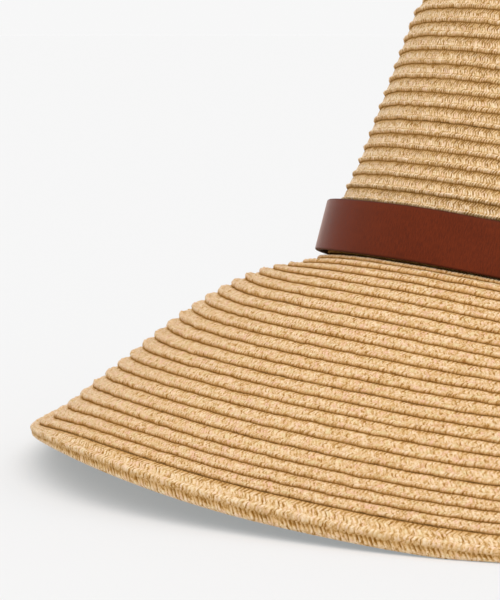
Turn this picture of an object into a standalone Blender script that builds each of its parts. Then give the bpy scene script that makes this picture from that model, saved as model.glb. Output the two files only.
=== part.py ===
"""Wide brim hat of sewn straw braid with a plain leather band, resting on its rim.

Metres, +Z up, origin at the middle of the hat's footprint on the surface that it rests on.
Azimuths are in degrees: 0 is the front (-Y), 90 the right (+X), 180 the back, 270 the left.
"""

from collections import namedtuple
from math import atan2, cos, degrees, pi, radians, sin, tan

import bmesh
import bpy
from mathutils import Vector

# Crown
CROWN_RADIUS = 0.0935  # outside, where the crown meets the brim
CROWN_BASE_HEIGHT = 0.0652  # middle of the crown's base above the floor
BASE_DIP = 0.0012  # how far the base sinks on one side and rises on the other, fading up the side
BASE_DIP_AZIMUTH = 290.0  # where it sinks most
CROWN_LEAN_RIGHT = 11.0  # degrees
CROWN_LEAN_BACK = 8.3  # degrees
CROWN_TAPER = 8.7  # degrees that the side leans in
CROWN_SIDE_LENGTH = 0.099  # up the side, from the brim to the shoulder
SHOULDER_RADIUS = 0.022
TIP_SLOPE = 7.0  # degrees, where the shoulder meets the domed tip

# Brim
BRIM_WIDTH = 0.1346  # along the slope, from the crown to the outer edge
BRIM_FULLNESS = 0.0034  # more width, in the narrow rows, where the table has a fullness of 1
RIM_LIFT = 0.0176  # highest part of the waved rim above the floor
RIM_DEPTH = 0.0038  # height of the turned edge below the brim's top
RIM_PRESSED_DEPTH = 0.0028  # the same where it is pressed on the floor
RIM_TURN = 11.0  # degrees that the edge braid droops further where the rim is lifted most
RIM_THICKNESS = 0.0030  # width of the turned edge's flat underside
EDGE_BRAID_WIDTH = 0.0072  # the wide last braid, on the slope

# Braid
WALL = 0.0018  # braid, from the bottom of a groove to the inside
ROW_RELIEF = 0.0009  # how far a row's lower edge stands out over the next row
ROW_STEP = 0.0007  # width of the step from one row to the next
CROWN_ROW_WIDTH = 0.0057
TIP_DISC_RADIUS = 0.0068  # inside the first groove of the tip
BRIM_ROW_WIDTH = 0.0061
FIRST_BRIM_ROW = 0.0042  # the row that turns from the crown into the brim
NARROW_ROW_WIDTH = 0.0046
NARROW_ROWS = 3  # next to the edge braid

# Leather band
BAND_HEIGHT = 0.0198
BAND_THICKNESS = 0.0024
BAND_SLACK = 0.0012  # between the crown's base and the inside of the band
BAND_SEAT = 0.0009  # its lower edge above the crown's base
BAND_ROUNDING = 0.0005
LAP_MIDDLE = 176.0  # azimuth
LAP_LENGTH = 0.034
LAP_RISE = 0.0012  # how far the pared upper end stands out at the lap

CLEARANCE = 0.0003  # between neighbouring pieces

SEGMENTS = 48  # round the hat, twice as many as on the coarse rings
TIP_COARSE_RADIUS = 0.042  # inside this the tip has half as many segments

# Sections of the brim at even steps round the hat, from the front. The six droops are degrees
# below level at even shares of the brim's width, from the crown to the rim. Lift is the rim's
# height above the floor as a share of RIM_LIFT, and fullness is a share of BRIM_FULLNESS.
Section = namedtuple("Section", "azimuth droops lift fullness")
BRIM_SECTIONS = (
    Section(0, (15, 34, 31, 35, 42, 42), 0.00, 0.0),
    Section(30, (17, 25, 26, 31, 38, 38), 0.00, 0.0),
    Section(60, (18, 23, 24, 27, 29, 26), 0.00, 0.0),
    Section(90, (18, 20, 23, 25, 23, 17), 0.00, 0.0),
    Section(120, (18, 19, 22, 24, 21, 13), 0.00, 0.0),
    Section(150, (15, 17, 24, 26, 21, 11), 0.00, 0.1),
    Section(180, (15, 21, 34, 38, 27, 9), 0.00, 0.3),
    Section(210, (8, 18, 38, 45, 30, 8), 0.00, 0.6),
    Section(240, (7, 19, 35, 41, 29, 11), 0.34, 0.9),
    Section(270, (9, 20, 32, 38, 33, 16), 0.52, 1.0),
    Section(300, (9, 27, 33, 34, 35, 26), 0.96, 0.8),
    Section(330, (8, 31, 38, 37, 49, 47), 0.43, 0.3),
)
SECTION_STEPS = 80  # steps in which a section's droop is summed

STRAW = (0.72, 0.50, 0.26)
LEATHER = (0.13, 0.030, 0.014)


def between(before, start, end, after, share):
    """Smooth curve from start to end that leans on the values beside them."""
    bend = 2 * before - 5 * start + 4 * end - after
    rest = 3 * (start - end) + after - before
    return start + share / 2 * (end - before + share * (bend + share * rest))


def around(column, azimuth):
    """Value at any azimuth of a column of the brim's table."""
    count = len(column)
    place = azimuth / 360 * count % count
    row = int(place)
    values = [column[(row + step) % count] for step in (-1, 0, 1, 2)]
    return between(*values, place - row)


def droop_at(droops, share):
    """Droop in radians at a share of the brim's width, from a section's six droops."""
    spans = len(droops) - 1
    place = min(max(share, 0) * spans, spans - 1e-9)
    span = int(place)
    start, end = droops[span], droops[span + 1]
    before = droops[span - 1] if span else 2 * start - end
    after = droops[span + 2] if span + 2 <= spans else 2 * end - start
    return radians(between(before, start, end, after, place - span))


class HatAxes:
    """The leaning crown's centre, directions and rings."""

    def __init__(self):
        self.centre = Vector((0, 0, CROWN_BASE_HEIGHT))
        self.up = Vector((tan(radians(CROWN_LEAN_RIGHT)), tan(radians(CROWN_LEAN_BACK)), 1)).normalized()
        right = Vector((1, 0, 0))
        self.right = (right - right.dot(self.up) * self.up).normalized()
        self.back = self.up.cross(self.right)

    def point(self, azimuth, radius, height):
        turn = radians(azimuth)
        out = sin(turn) * self.right - cos(turn) * self.back
        dip = BASE_DIP * cos(turn - radians(BASE_DIP_AZIMUTH)) * max(0, 1 - height / CROWN_SIDE_LENGTH)
        return self.centre + radius * out + (height - dip) * self.up


AXES = HatAxes()


class BrimSection:
    """The brim's top along its slope at one azimuth, in the upright plane of that azimuth."""

    def __init__(self, azimuth):
        turn = radians(azimuth)
        self.start = AXES.point(azimuth, CROWN_RADIUS, 0)
        self.out = Vector((sin(turn), -cos(turn), 0))
        self.fullness = around([row.fullness for row in BRIM_SECTIONS], azimuth) * BRIM_FULLNESS
        self.width = BRIM_WIDTH + self.fullness
        lift = max(0, around([row.lift for row in BRIM_SECTIONS], azimuth))
        rim_top = RIM_PRESSED_DEPTH + lift * RIM_LIFT
        self.rim_bottom = max(0, rim_top - RIM_DEPTH)
        droops = [around(station, azimuth) for station in zip(*(row.droops for row in BRIM_SECTIONS))]
        step = self.width / SECTION_STEPS
        self.places = [(0, 0)]
        for number in range(SECTION_STEPS):
            share = (number + 0.5) / SECTION_STEPS
            along, down = self.places[-1]
            droop = droop_at(droops, share)
            if share * self.width > self.width - EDGE_BRAID_WIDTH:
                droop += radians(RIM_TURN) * lift
            self.places.append((along + step * cos(droop), down + step * sin(droop)))
        missing = self.start.z - rim_top - self.places[-1][1]
        self.places = [
            (along, down + missing * (number / SECTION_STEPS) ** 2)
            for number, (along, down) in enumerate(self.places)
        ]

    def place(self, slope):
        """Distance out and height above the floor at a distance down the slope, and the droop."""
        at = min(max(slope / self.width, 0) * SECTION_STEPS, SECTION_STEPS - 1e-9)
        number = int(at)
        (near, high), (far, low) = self.places[number : number + 2]
        share = at - number
        along = near + share * (far - near)
        height = self.start.z - high - share * (low - high)
        return along, height, atan2(low - high, far - near)

    def grooves(self):
        """Distances down the slope of the grooves between rows, up to the edge braid."""
        narrow_width = NARROW_ROWS * NARROW_ROW_WIDTH
        narrow_start = BRIM_WIDTH - EDGE_BRAID_WIDTH - narrow_width
        rows = max(1, round((narrow_start - FIRST_BRIM_ROW) / BRIM_ROW_WIDTH))
        width = (narrow_start - FIRST_BRIM_ROW) / rows
        wide = [FIRST_BRIM_ROW + width * number for number in range(rows + 1)]
        narrow_row = (narrow_width + self.fullness) / NARROW_ROWS
        return wide + [narrow_start + narrow_row * number for number in range(1, NARROW_ROWS)]

    def point(self, slope, rise):
        """A point at a distance down the slope and a distance off the brim's top."""
        along, height, droop = self.place(slope)
        return self.upright(along + rise * sin(droop), height + rise * cos(droop))

    def upright(self, along, height):
        spot = self.start + along * self.out
        spot.z = height
        return spot


def crown_arcs():
    """Lengths along the crown's profile to the shoulder, to the tip and to the middle."""
    turn = radians(90 - CROWN_TAPER - TIP_SLOPE)
    shoulder_end = CROWN_SIDE_LENGTH + SHOULDER_RADIUS * turn
    radius, _, _ = shoulder_place(turn)
    dome_radius = radius / sin(radians(TIP_SLOPE))
    return shoulder_end, dome_radius, shoulder_end + dome_radius * radians(TIP_SLOPE)


def shoulder_place(turned):
    """Radius, height and lean of the profile where it has turned by an angle at the shoulder."""
    lean = radians(CROWN_TAPER)
    radius = CROWN_RADIUS - CROWN_SIDE_LENGTH * sin(lean)
    height = CROWN_SIDE_LENGTH * cos(lean)
    radius -= SHOULDER_RADIUS * (cos(lean) - cos(lean + turned))
    height += SHOULDER_RADIUS * (sin(lean + turned) - sin(lean))
    return radius, height, lean + turned


def crown_place(length, rise):
    """Radius and height at a length up the crown's profile and a distance off its outside."""
    shoulder_end, dome_radius, whole = crown_arcs()
    if length <= CROWN_SIDE_LENGTH:
        lean = radians(CROWN_TAPER)
        radius, height = CROWN_RADIUS - length * sin(lean), length * cos(lean)
    elif length <= shoulder_end:
        radius, height, lean = shoulder_place((length - CROWN_SIDE_LENGTH) / SHOULDER_RADIUS)
    else:
        left = (whole - length) / dome_radius
        _, height, _ = shoulder_place(radians(90 - CROWN_TAPER - TIP_SLOPE))
        height += dome_radius * (cos(left) - cos(radians(TIP_SLOPE)))
        radius, lean = dome_radius * sin(left), pi / 2 - left
    return radius + rise * cos(lean), height + rise * sin(lean)


def crown_grooves():
    """Lengths up the profile of the grooves between rows, from just above the band."""
    whole = crown_arcs()[2]
    covered = (BAND_SEAT + BAND_HEIGHT) / cos(radians(CROWN_TAPER))
    first = whole - TIP_DISC_RADIUS
    rows = int((first - covered) / CROWN_ROW_WIDTH) + 1
    return [first - CROWN_ROW_WIDTH * number for number in reversed(range(rows))]


def azimuths(count):
    return [360 * number / count for number in range(count)]


def join(mesh, first, second):
    """Faces between two rings of points, of which one may be a single point or have half as many."""
    if len(first) == len(second) == 1:
        return
    fine, coarse = (first, second) if len(first) >= len(second) else (second, first)
    ratio = len(fine) // len(coarse)
    for number, here in enumerate(fine):
        following = fine[(number + 1) % len(fine)]
        near = coarse[number // ratio]
        far = coarse[(number + 1) // ratio % len(coarse)]
        mesh.faces.new((here, following, near) if near is far else (here, following, far, near))


def make_body(name, rings, material, parent):
    """One closed body from rings of points, of which the last is joined to the first."""
    mesh = bmesh.new()
    loops = [[mesh.verts.new(point) for point in ring] for ring in rings]
    for first, second in zip(loops, loops[1:] + loops[:1]):
        join(mesh, first, second)
    bmesh.ops.triangulate(mesh, faces=[face for face in mesh.faces if len(face.verts) > 3])
    bmesh.ops.recalc_face_normals(mesh, faces=mesh.faces)
    data = bpy.data.meshes.new(name)
    mesh.to_mesh(data)
    mesh.free()
    data.shade_smooth()
    data.set_sharp_from_angle(angle=radians(35))
    data.materials.append(material)
    piece = bpy.data.objects.new(name, data)
    piece.parent = parent
    bpy.context.scene.collection.objects.link(piece)


def plain_material(name, colour, roughness):
    material = bpy.data.materials.new(name)
    material.use_nodes = True
    shader = material.node_tree.nodes["Principled BSDF"]
    shader.inputs["Base Color"].default_value = (*colour, 1)
    shader.inputs["Roughness"].default_value = roughness
    shader.inputs["Metallic"].default_value = 0
    return material


def crown_ring(length, rise, count):
    radius, height = crown_place(length, rise)
    return [AXES.point(azimuth, radius, height) for azimuth in azimuths(count)]


def make_crown(material, parent):
    """Hollow crown, ribbed outside from the band to the middle of its tip and plain inside."""
    shoulder_end, _, whole = crown_arcs()
    rings = [crown_ring(CLEARANCE, 0, SEGMENTS)]
    for groove in crown_grooves():
        count = SEGMENTS if crown_place(groove, 0)[0] > TIP_COARSE_RADIUS else SEGMENTS // 2
        rings.append(crown_ring(groove - ROW_STEP / 2, 0, count))
        rings.append(crown_ring(groove + ROW_STEP / 2, ROW_RELIEF, count))
    rings.append(crown_ring(whole, 0, 1))
    rings.append(crown_ring(whole, -WALL, 1))
    inside = [whole + (shoulder_end - whole) * share for share in (0.35, 0.7, 1)]
    inside += [shoulder_end + (CROWN_SIDE_LENGTH - shoulder_end) * share for share in (0.25, 0.5, 0.75, 1)]
    inside += [CROWN_SIDE_LENGTH * share for share in (0.66, 0.33)]
    rings += [crown_ring(length, -WALL, SEGMENTS // 2) for length in inside + [CLEARANCE]]
    make_body("crown", rings, material, parent)


def make_brim(sections, material, parent):
    """Brim from under the crown's wall to the edge braid, ribbed on top and plain underneath."""
    inner_radius = CROWN_RADIUS - WALL
    rings = [[AXES.point(azimuth, inner_radius, 0) for azimuth in azimuths(SEGMENTS)]]
    rings.append([section.point(0, 0) for section in sections])
    for slopes in zip(*(section.grooves() for section in sections)):
        placed = list(zip(sections, slopes))
        rings.append([section.point(slope - ROW_STEP / 2, ROW_RELIEF) for section, slope in placed])
        rings.append([section.point(slope + ROW_STEP / 2, 0) for section, slope in placed])
    ends = [(section, section.width - EDGE_BRAID_WIDTH - CLEARANCE / 2) for section in sections]
    rings.append([section.point(end, ROW_RELIEF) for section, end in ends])
    for share in (1, 0.86, 0.72, 0.57, 0.43, 0.29, 0.15):
        rings.append([section.point(end * share, -WALL) for section, end in ends])
    rings.append([AXES.point(azimuth, inner_radius, -WALL) for azimuth in azimuths(SEGMENTS)])
    make_body("brim", rings, material, parent)


def edge_rings(sections):
    """Rings of the last braid, which is turned down and under at the rim."""
    start = -EDGE_BRAID_WIDTH + CLEARANCE / 2
    turn_in = -RIM_THICKNESS - WALL
    rings = []
    for inset, rise in ((start, 0), (-RIM_THICKNESS / 2, ROW_RELIEF), (0, 0)):
        rings.append([section.point(section.width + inset, rise) for section in sections])
    for inset in (0, -RIM_THICKNESS):
        ends = [(section, section.place(section.width)[0] + inset) for section in sections]
        rings.append([section.upright(along, section.rim_bottom) for section, along in ends])
    for inset in (turn_in, start):
        rings.append([section.point(section.width + inset, -WALL) for section in sections])
    return rings


def make_band(material, parent):
    """Leather strap standing off the crown, with a lap where its pared end is stuck down."""
    outside = CROWN_RADIUS + BAND_SLACK + BAND_THICKNESS
    lap = degrees(LAP_LENGTH / outside)
    lap_ends = (LAP_MIDDLE - lap / 2, LAP_MIDDLE + lap / 2)
    edge = degrees(LAP_RISE / outside) / 2
    stops = [stop for stop in azimuths(SEGMENTS) if min(abs(stop - end) for end in lap_ends) > 2 * edge]
    stops = sorted(stops + [end + side * edge for end in lap_ends for side in (-1, 1)])
    rings = []
    for height, inset in (
        (0, BAND_ROUNDING),
        (BAND_ROUNDING, 0),
        (BAND_HEIGHT - BAND_ROUNDING, 0),
        (BAND_HEIGHT, BAND_ROUNDING),
        (BAND_HEIGHT, BAND_THICKNESS),
        (0, BAND_THICKNESS),
    ):
        ring = []
        for azimuth in stops:
            lapped = lap_ends[0] < azimuth < lap_ends[1] and inset < BAND_THICKNESS
            radius = outside - inset + (LAP_RISE if lapped else 0)
            ring.append(AXES.point(azimuth, radius, BAND_SEAT + height))
        rings.append(ring)
    make_body("hat_band", rings, material, parent)


def footprint_middle(rings):
    """Middle of the hat's outline seen from above."""
    points = [point for ring in rings for point in ring]
    return [(min(values) + max(values)) / 2 for values in ([p.x for p in points], [p.y for p in points])]


def main():
    for old in list(bpy.data.objects):
        bpy.data.objects.remove(old, do_unlink=True)
    sections = [BrimSection(azimuth) for azimuth in azimuths(SEGMENTS)]
    edge = edge_rings(sections)
    hat = bpy.data.objects.new("hat", None)
    hat.location = [-value for value in footprint_middle(edge)] + [0]
    bpy.context.scene.collection.objects.link(hat)
    straw = plain_material("straw", STRAW, 0.75)
    leather = plain_material("leather", LEATHER, 0.5)
    make_crown(straw, hat)
    make_brim(sections, straw, hat)
    make_body("edge_braid", edge, straw, hat)
    make_band(leather, hat)


if __name__ == "__main__":
    main()
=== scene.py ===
"""Wide brim hat of sewn straw braid with a leather strap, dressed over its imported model.

Metres, +Z up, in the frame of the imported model. Azimuths are in degrees: 0 is the front (-Y),
90 the right (+X), 180 the back, 270 the left.
"""

from collections import namedtuple
from math import cos, pi, radians, sin, tan

import bpy
import numpy as np
from bpy.props import FloatProperty, FloatVectorProperty, IntProperty, PointerProperty
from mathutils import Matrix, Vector


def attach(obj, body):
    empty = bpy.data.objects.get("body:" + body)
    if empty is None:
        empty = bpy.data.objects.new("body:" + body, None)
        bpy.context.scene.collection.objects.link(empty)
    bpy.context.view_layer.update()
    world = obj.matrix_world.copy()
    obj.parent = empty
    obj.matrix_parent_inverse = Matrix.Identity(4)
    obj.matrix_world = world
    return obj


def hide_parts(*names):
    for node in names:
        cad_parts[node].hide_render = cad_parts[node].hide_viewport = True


bl_info = {
    "name": "Wide brim straw hat",
    "version": (1, 0, 0),
    "blender": (4, 5, 0),
    "location": "3D View > Sidebar > Hat",
    "description": "Sewn straw braid and a leather strap for the packed hat, with a studio stage",
    "category": "Add Mesh",
}

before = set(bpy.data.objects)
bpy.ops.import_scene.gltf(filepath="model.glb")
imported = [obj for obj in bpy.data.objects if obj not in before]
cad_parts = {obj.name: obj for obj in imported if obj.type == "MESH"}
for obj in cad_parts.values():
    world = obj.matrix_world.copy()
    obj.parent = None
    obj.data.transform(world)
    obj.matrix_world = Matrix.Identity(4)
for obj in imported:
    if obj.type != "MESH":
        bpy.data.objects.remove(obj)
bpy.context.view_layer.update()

# Crown
CROWN_RADIUS = 0.0935  # outside, where the crown meets the brim
CROWN_BASE_HEIGHT = 0.0652
BASE_DIP = 0.0012
BASE_DIP_AZIMUTH = 290.0
CROWN_LEAN_RIGHT = 11.0
CROWN_LEAN_BACK = 8.3
CROWN_TAPER = 8.7
CROWN_SIDE_LENGTH = 0.099
SHOULDER_RADIUS = 0.022
TIP_SLOPE = 7.0

# Brim
BRIM_WIDTH = 0.1346
BRIM_FULLNESS = 0.0034
RIM_LIFT = 0.0176
RIM_DEPTH = 0.0038
RIM_PRESSED_DEPTH = 0.0028
RIM_TURN = 11.0
RIM_THICKNESS = 0.0030
EDGE_BRAID_WIDTH = 0.0072

# Braid
WALL = 0.0018
CROWN_ROW_WIDTH = 0.0057
TIP_DISC_RADIUS = 0.0068
BRIM_ROW_WIDTH = 0.0061
FIRST_BRIM_ROW = 0.0042
NARROW_ROW_WIDTH = 0.0046
NARROW_ROWS = 3

# Leather band
BAND_HEIGHT = 0.0198
BAND_THICKNESS = 0.0024
BAND_SLACK = 0.0012
BAND_SEAT = 0.0009
LAP_MIDDLE = 176.0
LAP_LENGTH = 0.034
LAP_RISE = 0.0012

CLEARANCE = 0.0003
SEAM_LAP = 0.0001  # by which the next piece of the brim or the crown starts above the groove

# Sections of the brim at even steps round the hat, from the front. The six droops are degrees
# below level at even shares of the brim's width, from the crown to the rim. Lift is the rim's
# height above the floor as a share of RIM_LIFT, and fullness is a share of BRIM_FULLNESS.
Section = namedtuple("Section", "azimuth droops lift fullness")
BRIM_SECTIONS = (
    Section(0, (15, 34, 31, 35, 42, 42), 0.00, 0.0),
    Section(30, (17, 25, 26, 31, 38, 38), 0.00, 0.0),
    Section(60, (18, 23, 24, 27, 29, 26), 0.00, 0.0),
    Section(90, (18, 20, 23, 25, 23, 17), 0.00, 0.0),
    Section(120, (18, 19, 22, 24, 21, 13), 0.00, 0.0),
    Section(150, (15, 17, 24, 26, 21, 11), 0.00, 0.1),
    Section(180, (15, 21, 34, 38, 27, 9), 0.00, 0.3),
    Section(210, (8, 18, 38, 45, 30, 8), 0.00, 0.6),
    Section(240, (7, 19, 35, 41, 29, 11), 0.34, 0.9),
    Section(270, (9, 20, 32, 38, 33, 16), 0.52, 1.0),
    Section(300, (9, 27, 33, 34, 35, 26), 0.96, 0.8),
    Section(330, (8, 31, 38, 37, 49, 47), 0.43, 0.3),
)
SECTION_STEPS = 80  # steps in which a section's droop is summed
OUTLINE_SEGMENTS = 48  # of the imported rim, whose outline's middle is the hat's origin
GRID = np.arange(0, 360, 0.5)  # azimuths at which the brim and the wavering grooves are worked out
BRIM_REACH = 0.9  # how far out the brim reaches for its length down the slope
RIM_REACH = 0.86

# Pieces of the crown from the tip down and of the brim outwards, each with its first row
CROWN_PIECES = (("crown_tip_rows", 0), ("crown_upper_rows", 12), ("crown_lower_rows", 22))
BRIM_PIECES = (
    ("brim_inner_rows", 0),
    ("brim_upper_rows", 7),
    ("brim_lower_rows", 13),
    ("brim_outer_rows", 18),
)
FOOT_NUMBER = 40  # the crown's foot and the last braid are numbered apart from the rows
RIM_NUMBER = 60
TIP_DISC_ROUND = 1.4 * pi * TIP_DISC_RADIUS  # length round the disc in the middle of the tip
FOOT_TONE = 0.14  # the crown's wall behind the strap lies in the dark
# The brim's inner end under the crown's wall is painted in shade
LIP_TONE = 0.6
LEAST_RIM_HEIGHT = 0.0002

# How round the rows stand, as shares
INNER_SWELL = 0.45  # added to the brim's innermost rows
INNER_ROWS = 3  # over which that fades
SIDE_SWELL = 0.28  # added to the ropes of the brim's rows at the far left
SIDE_ROWS = 5  # over which that sets in
SIDE_SPREAD = 36.0
PRESSED_SWELL = 0.6  # of the crown's rows that the strap covers
FIRST_ROW_SWELL = 0.92  # of the brim's first row, under the strap's edge

# Longest and shortest waves in which the braid strays
SWELL_WAVES = (0.05, 0.006)
CROWN_WAVES = (0.06, 0.005)
BRIM_WAVES = (0.07, 0.008)
RIM_WAVES = (0.12, 0.012)
STEADY_RADIUS = 0.05  # nearer than this to the middle of the tip the rows stray less
LEAST_RADIUS = 0.01

# One row of braid from its top, under the row above, to its lower edge. Share is of the row's
# width, rise and gap are millimetres, gap being the depth between two strands, shift is how far
# a strand has leaned along the row, in strands, zone numbers the plait's columns, whose strands
# lie half a strand apart, and the last column is how open to the light the straw lies there,
# which is painted into its colour as shade.
Across = namedtuple("Across", "share rise gap shift zone tone")
CROWN_ROW = (
    Across(-0.04, -0.05, 0.00, 0.00, 0, 0.05),
    Across(0.06, 0.15, 0.44, -0.10, 0, 0.38),
    Across(0.20, 0.32, 0.58, -0.60, 0, 0.72),
    Across(0.34, 0.38, 0.40, -0.45, 1, 0.94),
    Across(0.52, 0.40, 0.14, -0.05, 1, 1.00),
    Across(0.63, 0.30, 0.00, -0.05, 1, 0.78),
    Across(0.70, 1.06, 0.20, -0.25, 2, 1.00),
    Across(0.79, 1.34, 0.28, -0.55, 2, 1.00),
    Across(0.89, 0.86, 0.22, -0.90, 2, 0.72),
    Across(0.97, 0.25, 0.00, -1.05, 2, 0.28),
)
TIP_DISC_FROM = 4  # the first ring of CROWN_ROW that the disc in the middle of the tip has
BRIM_ROW = (
    Across(-0.03, -0.50, 0.00, 0.00, 0, 0.06),
    Across(0.05, -0.28, 0.16, -0.10, 0, 0.46),
    Across(0.16, -0.12, 0.22, -0.45, 0, 0.94),
    Across(0.38, -0.06, 0.18, -0.40, 1, 1.00),
    Across(0.57, -0.20, 0.00, -0.05, 1, 0.84),
    Across(0.67, 0.48, 0.12, -0.20, 2, 1.00),
    Across(0.78, 0.98, 0.15, -0.55, 2, 1.00),
    Across(0.90, 0.60, 0.14, -0.90, 2, 0.80),
    Across(0.98, -0.12, 0.00, -1.05, 2, 0.26),
)
# The rows' underside; its last column too is painted shade
UNDERSIDE_ROW = (
    Across(0.98, 0.00, 0.00, 0.00, 0, 0.55),
    Across(0.50, -0.26, 0.00, -0.40, 1, 1.00),
    Across(0.05, -0.44, 0.00, -0.10, 2, 0.90),
)

# The turned last braid. Inset is metres from the rim's corner up the slope, and rise as above.
TurnedTop = namedtuple("TurnedTop", "inset rise gap shift zone tone")
# Like the rows, both turned tables end with how open the straw lies, painted into its colour as shade
EDGE_TOP = (
    TurnedTop(-0.00735, -0.40, 0.00, 0.00, 0, 0.10),
    TurnedTop(-0.00665, -0.10, 0.22, -0.05, 0, 0.46),
    TurnedTop(-0.00540, 0.20, 0.28, -0.55, 0, 0.84),
    TurnedTop(-0.00440, 0.26, 0.25, -0.45, 1, 0.96),
    TurnedTop(-0.00300, 0.22, 0.22, 0.05, 1, 0.96),
    TurnedTop(-0.00230, 0.14, 0.00, 0.05, 1, 0.74),
    TurnedTop(-0.00165, 0.78, 0.12, -0.10, 2, 1.00),
    TurnedTop(-0.00090, 1.00, 0.15, -0.35, 2, 1.00),
    TurnedTop(-0.00020, 0.76, 0.16, -0.60, 2, 0.95),
)
# The turned face, from its top to the floor. Share is of the face's height, and out is
# millimetres out from the rim.
TurnedFace = namedtuple("TurnedFace", "share out gap shift zone tone")
EDGE_FACE = (
    TurnedFace(0.86, 0.20, 0.10, -0.75, 2, 0.66),
    TurnedFace(0.66, -0.20, 0.40, -0.80, 3, 0.46),
    TurnedFace(0.42, -0.10, 0.36, -0.45, 3, 0.74),
    TurnedFace(0.20, -0.15, 0.14, -0.25, 3, 1.00),
    TurnedFace(0.00, -1.20, 0.00, -0.20, 3, 0.90),
)
ZONES = 4
SAMPLES = 2  # points along a strand's width: its ridge and the bottom of the gap beside it
STITCH_LINE = 0.635  # share of a row at which its rope is sewn on
STRAND_HEIGHTS = 0.000035  # how far single strands stand out or lie back
STRAND_SLIPS = 0.12  # how far they are from even steps, in strands
MOST_SLIP = 0.2
GAP_DEPTHS = (0.1, 1.6)  # shares of its modelled depth between which a gap's depth lies
GAP_SHADE = 2.1  # share of the light that a gap loses for each millimetre of depth
DARKEST_GAP = 0.9
CROWN_SHADING = 1.5  # how much more light than the brim's the crown's gaps lose
EDGE_RAGGED_FROM = 0.88  # share of a row from which its strands' ends stand out below
EDGE_STRAYS = 2  # how much more than elsewhere the strands stray there
MM = 0.001

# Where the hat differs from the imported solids, most of it at the far left
LEFT_AZIMUTH = 277.0
LEFT_SPREAD = 22.0
TUCK = 0.0020  # how far the rim is drawn in
RIM_RISE = 0.0009  # how much higher the rim's lower edge lies
GROOVE_SHIFT = 0.0015  # how much further out the last braid's groove lies
HOLLOW_DEPTH = 0.0022  # how much lower the last rows lie
HOLLOW_INSET = 0.010
HOLLOW_SPREAD = 0.014
INNER_HOLLOW = 0.0019  # how much lower the first rows lie
INNER_HOLLOW_SLOPE = 0.010
INNER_HOLLOW_SPREAD = 0.011
CROWN_BULGE = 0.0013  # how much further out the crown stands just above the strap
CROWN_BULGE_LENGTH = 0.024
CROWN_BULGE_SPREAD = 0.009
CROWN_BULGE_TURN = 40.0
RIM_SAG = 0.0014  # how much lower the rim's edge hangs at the front left
SAG_AZIMUTH = 326.0
SAG_SPREAD = 32.0


def length_property(name, description, default, most, least=0.0):
    return FloatProperty(
        name=name, description=description, default=default, min=least, max=most,
        unit="LENGTH", precision=5,
    )


def amount_property(name, description, default, most, subtype="NONE"):
    return FloatProperty(
        name=name, description=description, default=default, min=0.0, max=most, subtype=subtype,
    )


def colour_property(name, description, default, most=1):
    return FloatVectorProperty(
        name=name, description=description, default=default, min=0, max=most,
        subtype="COLOR", size=3,
    )


class StrawSizes(bpy.types.PropertyGroup):
    """Sizes of the braid that can change without changing the hat's shape"""

    crown_strand: length_property(
        "Crown strand", "Along the row, from one strand of the plait to the next",
        0.00116, 0.005, 0.0008,
    )
    brim_strand: length_property(
        "Brim strand", "Along the row, from one strand of the plait to the next",
        0.0015, 0.005, 0.0008,
    )
    rim_strand: length_property(
        "Rim strand", "Along the last braid, from one strand to the next", 0.0018, 0.005, 0.0008
    )
    gap_depth: amount_property(
        "Gap depth", "Depth between strands, as a share of the modelled plait's", 1.0, 2.0, "FACTOR"
    )
    waver: length_property(
        "Groove waver", "How far the sewn rows stray from even rings", 0.00010, 0.0006
    )
    raggedness: length_property(
        "Raggedness", "How far single strands stray from their row", 0.00005, 0.0003
    )
    serration: length_property(
        "Serration", "How far the gaps between strands notch a row's lower edge", 0.00028, 0.0008
    )
    unevenness: amount_property(
        "Unevenness", "How much the rows' height changes along them, as a share", 0.09, 0.4, "FACTOR"
    )
    seed: IntProperty(name="Seed", description="Picks another set of uneven rows", default=7, min=0)


class StrawColours(bpy.types.PropertyGroup):
    """Colours of the straw, with the painted shade in its plait"""

    light: colour_property("Light straw", "Palest strands", (1.0, 0.80, 0.52))
    deep: colour_property("Deep straw", "Strands that took more of the dye", (0.86, 0.585, 0.29))
    blush: colour_property("Blush", "Pinkish patches", (0.92, 0.58, 0.42))
    green: colour_property("Green straw", "Patches cut before they were ripe", (0.80, 0.67, 0.32))
    # Shade and groove are painted shade: the colours the straw takes where it lies low or deep in the
    # plait, out of the light
    shade: colour_property("Shaded straw", "Straw that lies low in the plait", (0.66, 0.40, 0.145))
    groove: colour_property("Groove", "Straw deep between rows and strands", (0.28, 0.115, 0.010))


class LeatherLook(bpy.types.PropertyGroup):
    """Size and colours of the leather strap's finish"""

    face: colour_property("Face", "Dyed face of the strap", (0.120, 0.0200, 0.0058))
    edge: colour_property("Edge", "Burnished edge and flesh side", (0.045, 0.012, 0.007))
    grain: length_property("Grain", "Size of a pebble of the leather's grain", 0.0005, 0.003, 0.0002)


class StudioLook(bpy.types.PropertyGroup):
    """Floor and light"""

    floor: colour_property("Floor", "Colour of the floor", (0.615, 0.572, 0.543))
    # The floor glows though no lamp lies under it: painted light that lifts the hat's shadow on the
    # floor, cooled to offset the warm light the straw throws into that shadow
    glow: amount_property("Floor glow", "Light that comes through the floor's paper", 0.26, 1.0)
    glow_colour: colour_property(
        "Glow colour", "Cool tint that offsets the warm light off the straw", (0.81, 1.0, 1.13), 2
    )
    backdrop: amount_property("Backdrop", "Brightness of the far wall", 0.932, 2.0)
    sky: amount_property("Room light", "Brightness of the white room round the hat", 0.70, 4.0)
    lamp: amount_property("Overhead light", "Strength of the soft light from above", 1.69, 10.0)
    lamp_softness: amount_property(
        "Softness", "Width of the overhead light as seen from the hat", radians(70), pi, "ANGLE"
    )


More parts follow.
